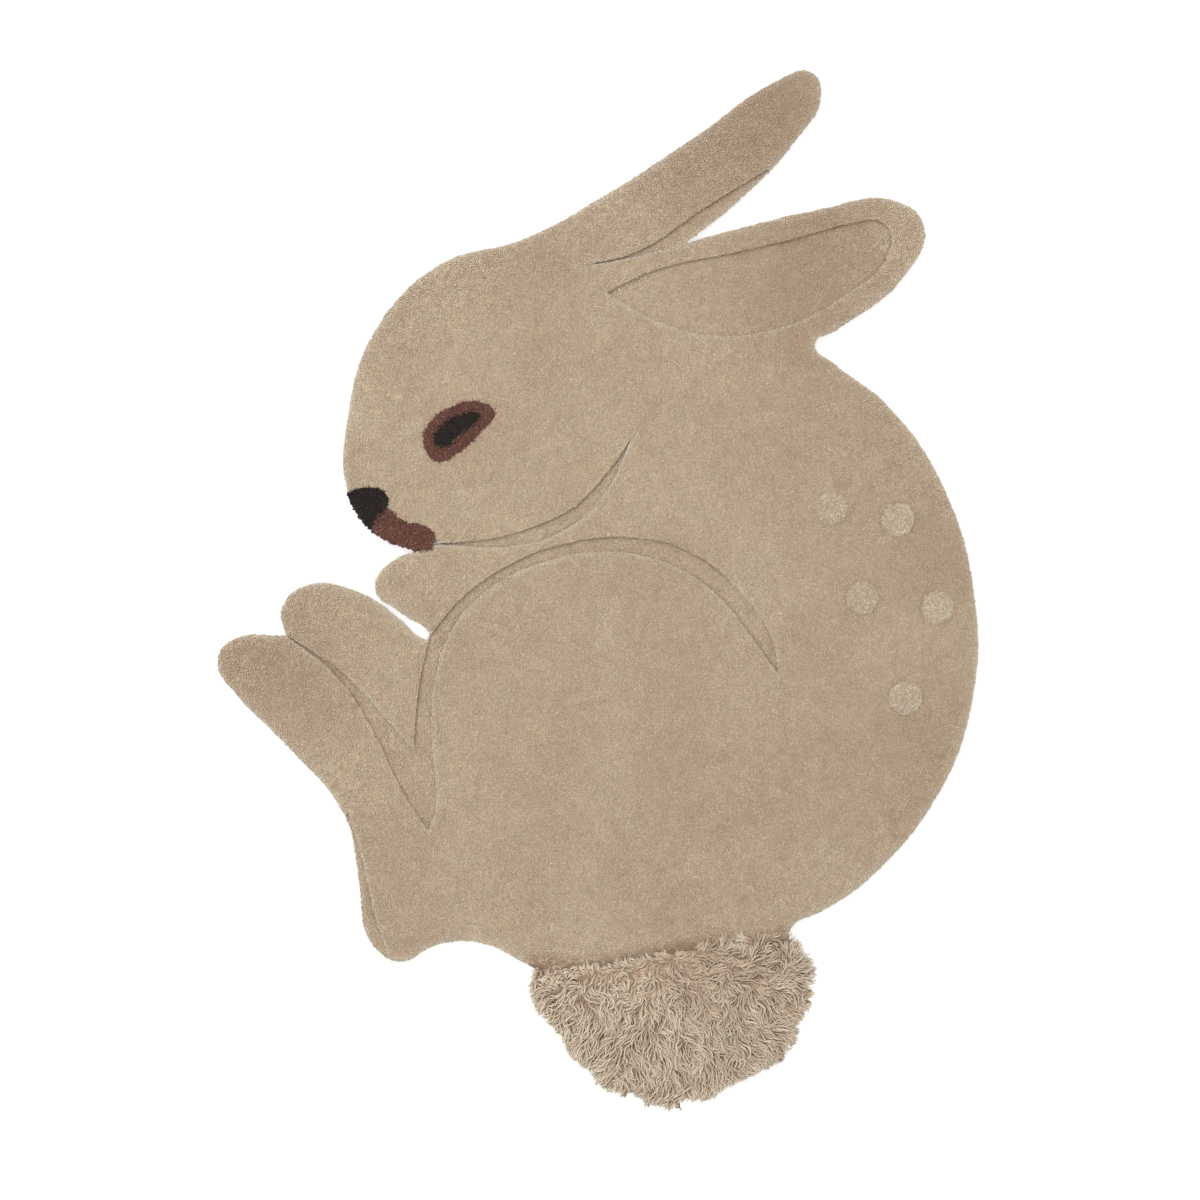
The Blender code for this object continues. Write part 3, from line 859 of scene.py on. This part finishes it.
# %% Ground of the tail
TAIL_INSET = 3.0 * MM
TAIL_MIDDLE = Vector((0.072, -0.392, 0.0))
SECTORS = 48
JOIN_WIDTH = 0.060                 # how far below the join the strands are ruffled
TO_BODY = Vector((-0.10, 0.995, 0.0))
TUCK = 3.5 * MM                    # how far the tail's edge is tucked under the body's pile
TUCKED = 12.0 * MM                 # and how far below the join that begins
TAIL_TONE = 0.5                    # the tail's ground is painted dark as shade under the strands, darkest at the join
TAIL_TIP = 0.2

tail_ground = ground("tail_ground", "tail_shag", TAIL_INSET, shag_wool, sideways=-0.3)
rim = [0.0] * SECTORS
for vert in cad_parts["tail_shag"].data.vertices:
    out = vert.co - TAIL_MIDDLE
    sector = int(math.atan2(out.y, out.x) % math.tau / math.tau * SECTORS)
    rim[sector] = max(rim[sector], out.xy.length)


def rim_reach(bearing):
    """Distance from the tail's middle to its rim, smoothly from sector to sector."""
    exact = bearing % math.tau / math.tau * SECTORS - 0.5
    first = math.floor(exact)
    share = exact - first
    return rim[first % SECTORS] * (1 - share) + rim[(first + 1) % SECTORS] * share


room = tail_ground.data.attributes.new("room", "FLOAT", "POINT")
ruffled = tail_ground.data.attributes.new("ruffled", "FLOAT", "POINT")
for vert in tail_ground.data.vertices:
    out = vert.co - TAIL_MIDDLE
    room.data[vert.index].value = rim_reach(math.atan2(out.y, out.x)) - out.xy.length
    off = to_join(vert.co)
    ruffled.data[vert.index].value = max(0.0, 1.0 - off / JOIN_WIDTH)
    vert.co += TO_BODY * TUCK * max(0.0, 1.0 - off / TUCKED)
# painted shade: a low tone and tip darken the ground, most of all at the join
for label, value in (("tone", TAIL_TONE), ("tip", TAIL_TIP)):
    mark = tail_ground.data.attributes.new(label, "FLOAT", "POINT")
    for point, near in zip(mark.data, ruffled.data):
        point.value = value * (1.0 - near.value ** 2)
print("tail reach:", round(min(rim), 3), "to", round(max(rim), 3))

# %% [markdown]
# ## Inputs of the strands
# In a second tree each strand is a curve with a thin tube around it. Its sums are longer
# than those of the tufts, so a few more helpers keep them readable.

# %% Tree that grows strands
SHAG_STEEPEST = -0.1            # the lowest Z of a normal that still carries strands

strands, given, result = new_tree("strands", (
    ("Spacing", "Float"),
    ("Points", "Int"),
    ("Thickness", "Float"),
    ("Length", "Float"),
    ("Arch", "Float"),
    ("Wave", "Float"),
    ("Locks", "Float"),
    ("Stray", "Float"),
    ("Fan", "Vector"),
    ("To Body", "Vector"),
    ("Seed", "Int"),
    ("Yarn", "Material"),
))


def named(label, kind="FLOAT"):
    """An attribute of the ground or of the strands."""
    return add(strands, "GeometryNodeInputNamedAttribute", {"Name": label}, data_type=kind).outputs[0]


def product(*values):
    """All the values multiplied."""
    made = values[0]
    for value in values[1:]:
        made = sums(strands, "MULTIPLY", made, value)
    return made


def total(*values):
    """All the values added."""
    made = values[0]
    for value in values[1:]:
        made = sums(strands, "ADD", made, value)
    return made


scatter = scattered(strands, given, SHAG_STEEPEST)
spot = add(strands, "GeometryNodeInputPosition").outputs[0]
upset = named("ruffled")


def by_join(away, at_join):
    """A value well away from the join that becomes another right at it."""
    return span(strands, upset, 0.0, 1.0, away, at_join)


tell(strands)

# %% [markdown]
# ## Locks and direction
# A Voronoi texture tells a strand which lock it is in, so that it can turn as its lock does
# and bring its tip close to the others. Strands point away from the rug. Those that stand
# right at the join are turned towards the body, most of all at its right end, where they
# climb over the edge of the body's pile.

# %% Direction of a strand
GATHER = (0.3, 0.3, 0.0)        # how far a tip comes towards the middle of its lock
SWIRL_CELLS = 45.0              # noise that turns strands, in cells to a metre
STRAND_TURNS = (-0.22, 0.22)    # radians that chance turns a strand
# pairs: well away from the join, and right at it
SWIRL_TURNS = (0.9, 2.0)        # radians that the noise turns a strand
LOCK_TURNS = (0.6, 1.6)         # and that its lock does
# pairs: to the left of the climb, and to the right of it
CLIMB_PLACE = (0.10, 0.17)      # where along X the strands begin to climb over the join
CLIMB_PULL = (0.6, 1.9)         # how strongly they are turned to the body
CLIMBING = 0.88                 # the ruffle from which strands climb

lock = add(strands, "ShaderNodeTexVoronoi", {"Vector": spot, "Scale": given["Locks"]})
dice = add(strands, "ShaderNodeSeparateXYZ", {0: lock.outputs["Color"]}).outputs
gather = vectors(strands, "SUBTRACT", lock.outputs["Position"], spot)
gather = vectors(strands, "MULTIPLY", gather, GATHER)

away = vectors(strands, "SUBTRACT", spot, given["Fan"])
away = vectors(strands, "NORMALIZE", vectors(strands, "MULTIPLY", away, LEVEL))
across = add(strands, "ShaderNodeSeparateXYZ", {0: spot}).outputs[0]
pull = span(strands, across, *CLIMB_PLACE, *CLIMB_PULL)
climb = product(span(strands, upset, CLIMBING, 1.0, 0.0, 1.0), pull)
away = vectors(strands, "ADD", away, scaled(strands, given["To Body"], climb))
away = vectors(strands, "NORMALIZE", away)
swirl = noise(strands, spot, SWIRL_CELLS, 1.0)
turn = total(
    product(span(strands, swirl, *NOISE, -1.0, 1.0), by_join(*SWIRL_TURNS)),
    product(span(strands, dice[0], 0.0, 1.0, -1.0, 1.0), by_join(*LOCK_TURNS)),
    chance(strands, *STRAND_TURNS, given["Seed"], 1),
)
inputs = {"Vector": away, "Axis": UP, "Angle": turn}
flow = add(strands, "ShaderNodeVectorRotate", inputs)
tell(strands)

# %% [markdown]
# ## Reach, arch and fall
# A strand has the length that chance gives it, but near the rim it may reach only a little
# past it. A strand with a short reach arches and swings less. The tip falls by a share of
# the height at which the strand stands, and the share is larger nearer to the rim. All
# these numbers are kept with the point, because the curve needs them later.

# %% Reach of a strand
# pairs: the least and the most that chance gives
LENGTHS = (0.55, 1.1)
ARCHES = (0.4, 1.2)
LOCK_HEIGHTS = (0.7, 1.3)
PHASES = (-0.7, 0.7)
JOIN_LENGTHS = (0.42, 0.9)      # share of its length at the join, left and right of the climb
SHORTEST = (3.0 * MM, 4.0 * MM)     # well away from the join, and right at it
SPARE = 6.0 * MM                # how far past the rim they may reach at the join
FULL = (3.0 * MM, 15.0 * MM, 0.2, 1.0)      # a reach from..to swings and arches so much
DROPS = (0.0, 45.0 * MM, 0.8, 0.2)          # a room from..to lets the tip fall by such a share
DROP_JOIN = 40.0 * MM           # the room that the join counts for

left = named("room")
shorter = by_join(1.0, span(strands, across, *CLIMB_PLACE, *JOIN_LENGTHS))
wish = product(given["Length"], chance(strands, *LENGTHS, given["Seed"], 2), shorter)
stray = product(given["Stray"], chance(strands, 0.0, 1.0, given["Seed"], 6))
most = total(left, stray, product(upset, SPARE))
reach = sums(strands, "MAXIMUM", sums(strands, "MINIMUM", wish, most), by_join(*SHORTEST))
higher = span(strands, dice[1], 0.0, 1.0, *LOCK_HEIGHTS)
full = span(strands, reach, *FULL)
arch = product(given["Arch"], chance(strands, *ARCHES, given["Seed"], 3), higher, full)
phase = total(product(dice[2], math.tau), chance(strands, *PHASES, given["Seed"], 4))
root = add(strands, "ShaderNodeSeparateXYZ", {0: spot}).outputs[2]
deep = total(left, product(upset, DROP_JOIN))
drop = product(root, span(strands, deep, *DROPS))

points = scatter.outputs["Points"]
for label, kind, value in (
    ("root", "FLOAT_VECTOR", spot),
    ("flow", "FLOAT_VECTOR", flow.outputs[0]),
    ("gather", "FLOAT_VECTOR", gather),
    ("reach", "FLOAT", reach),
    ("drop", "FLOAT", drop),
    ("arch", "FLOAT", arch),
    ("full", "FLOAT", full),
    ("phase", "FLOAT", phase),
    ("tone", "FLOAT", chance(strands, 0.0, 1.0, given["Seed"], 5)),
):
    points = stored(strands, points, label, "POINT", value, kind)
tell(strands)

# %% [markdown]
# ## Route and tube
# A straight line stands at each point and is bent by the share of its length. It runs
# outwards, swings from side to side, closes up with its lock, and rises and falls. The
# three-sided tube around it thins towards the tip.

# %% Bend the strands
SWINGS = 6.5                    # radians of swing along a strand
BOW = 0.8                       # share of a half wave in a strand's arch
CLOSING = 2.0                   # powers of the share: a strand closes up with its lock
FALLING = 1.5                   # and falls more and more towards its tip
TAPER = (0.55, 1.0, 1.0, 0.3)   # the share of the length from..to thins it so
LOWEST = 1.0 * MM               # strands stay above the floor

line = add(strands, "GeometryNodeCurvePrimitiveLine")
inputs = {"Curve": line.outputs[0], "Count": given["Points"]}
line = add(strands, "GeometryNodeResampleCurve", inputs)
inputs = {"Points": points, "Instance": line.outputs[0]}
placed = add(strands, "GeometryNodeInstanceOnPoints", inputs)
curves = add(strands, "GeometryNodeRealizeInstances", {"Geometry": placed.outputs[0]})

share = add(strands, "GeometryNodeSplineParameter").outputs["Factor"]
flow = named("flow", "FLOAT_VECTOR")
outward = scaled(strands, flow, product(named("reach"), share))
inputs = {"Vector": flow, "Axis": UP, "Angle": math.pi / 2}
side = add(strands, "ShaderNodeVectorRotate", inputs)
angle = total(product(share, SWINGS), named("phase"))
swing = sums(strands, "SUBTRACT", sums(strands, "SINE", angle), sums(strands, "SINE", named("phase")))
sideways = scaled(strands, side.outputs[0], product(swing, given["Wave"], named("full")))
closing = sums(strands, "POWER", share, CLOSING)
closer = scaled(strands, named("gather", "FLOAT_VECTOR"), closing)
bow = product(sums(strands, "SINE", product(share, math.pi * BOW)), named("arch"))
fall = product(named("drop"), sums(strands, "POWER", share, FALLING))
level = sums(strands, "SUBTRACT", bow, fall)
height = scaled(strands, UP, level)
path = named("root", "FLOAT_VECTOR")
for part in (outward, sideways, closer, height):
    path = vectors(strands, "ADD", path, part)
path = vectors(strands, "MAXIMUM", path, (-FAR, -FAR, LOWEST))
bent = add(strands, "GeometryNodeSetPosition", {"Geometry": curves.outputs[0], "Position": path})
radius = product(span(strands, share, *TAPER), given["Thickness"], 0.5)
# tip lets the material paint shade towards a strand's root
marked = stored(strands, bent.outputs[0], "tip", "POINT", share)
inputs = {"Resolution": 3, "Radius": 1.0}
ring = add(strands, "GeometryNodeCurvePrimitiveCircle", inputs, mode="RADIUS")
tube = add(
    strands, "GeometryNodeCurveToMesh",
    {"Curve": marked, "Profile Curve": ring.outputs[0], "Scale": radius, "Fill Caps": True},
)
real = add(strands, "GeometryNodeRealizeInstances", {"Geometry": tube.outputs[0]})
inputs = {"Geometry": real.outputs[0], "Shade Smooth": True}
soft = add(strands, "GeometryNodeSetShadeSmooth", inputs)
inputs = {"Geometry": soft.outputs[0], "Material": given["Yarn"]}
dyed = add(strands, "GeometryNodeSetMaterial", inputs)
strands.links.new(dyed.outputs[0], result[0])
tell(strands)

# %% [markdown]
# ## Layers of the tail
# Shorter and flatter strands lie below and cover the ground. Two layers of longer ones
# arch over them.

# %% Tail strands
SHAG = {
    "Thickness": 2.0 * MM,
    "Locks": 85.0,
    "Stray": 3.5 * MM,
    "Fan": (0.072, -0.350, 0.0),
    "To Body": TO_BODY.to_tuple(),
    "Yarn": shag_wool,
}
# columns: name, spacing, points, length, arch, wave and seed, with the sizes in millimetres
LAYERS = (
    ("tail_under", 2.28, 5, 17.0, 3.0, 1.0, 3),
    ("tail_over", 2.53, 6, 24.0, 5.5, 1.5, 50),
    ("tail_top", 2.53, 6, 20.0, 6.5, 1.8, 90),
)

for name, spacing, count, length, bow, wave, seed in LAYERS:
    values = {
        **SHAG, "Spacing": spacing * MM, "Points": count, "Length": length * MM, "Arch": bow * MM,
        "Wave": wave * MM, "Seed": seed,
    }
    grow(name, tail_ground, strands, values)
for lines in (shear_lines, ridge_lines, join_line, rim_line):
    bpy.data.objects.remove(lines, do_unlink=True)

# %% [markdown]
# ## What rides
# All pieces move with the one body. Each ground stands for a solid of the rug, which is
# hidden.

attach(rug_ground, "root")
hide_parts("rug_body")
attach(tail_ground, "root")
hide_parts("tail_shag")

# %% [markdown]
# ## Floor
# A wide white floor catches the light. It glows a little, as a light table does, so that
# the rug throws next to no shadow on it. It is scenery, so it is marked as stage.

# %% Floor
FLOOR_SIDE = 8.0
FLOOR_GAP = 0.2 * MM
FLOOR_WHITE = (0.50, 0.50, 0.50, 1.0)
FLOOR_GLOW = 0.60

floor_mesh = bpy.data.meshes.new("floor")
shape = bmesh.new()
bmesh.ops.create_grid(shape, x_segments=1, y_segments=1, size=FLOOR_SIDE / 2)
bmesh.ops.translate(shape, verts=shape.verts, vec=(0.0, 0.0, -FLOOR_GAP))
shape.to_mesh(floor_mesh)
shape.free()
floor = object_of("floor", floor_mesh)
white = bpy.data.materials.new("floor_white")
white.use_nodes = True
surface = white.node_tree.nodes["Principled BSDF"].inputs
surface["Base Color"].default_value = FLOOR_WHITE
surface["Emission Color"].default_value = (1.0, 1.0, 1.0, 1.0)
surface["Emission Strength"].default_value = FLOOR_GLOW
surface["Roughness"].default_value = 0.9
surface["Specular IOR Level"].default_value = 0.1
floor_mesh.materials.append(white)
floor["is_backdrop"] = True
print("floor:", FLOOR_SIDE, "metres square")

# %% [markdown]
# ## Sizes
# The yarn may stand a little proud of the solids, but the rug's size has to stay. The box
# of everything shown is printed.

# %% Print the size
low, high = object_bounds()
print("size of the rug:", [round(side, 4) for side in high - low])
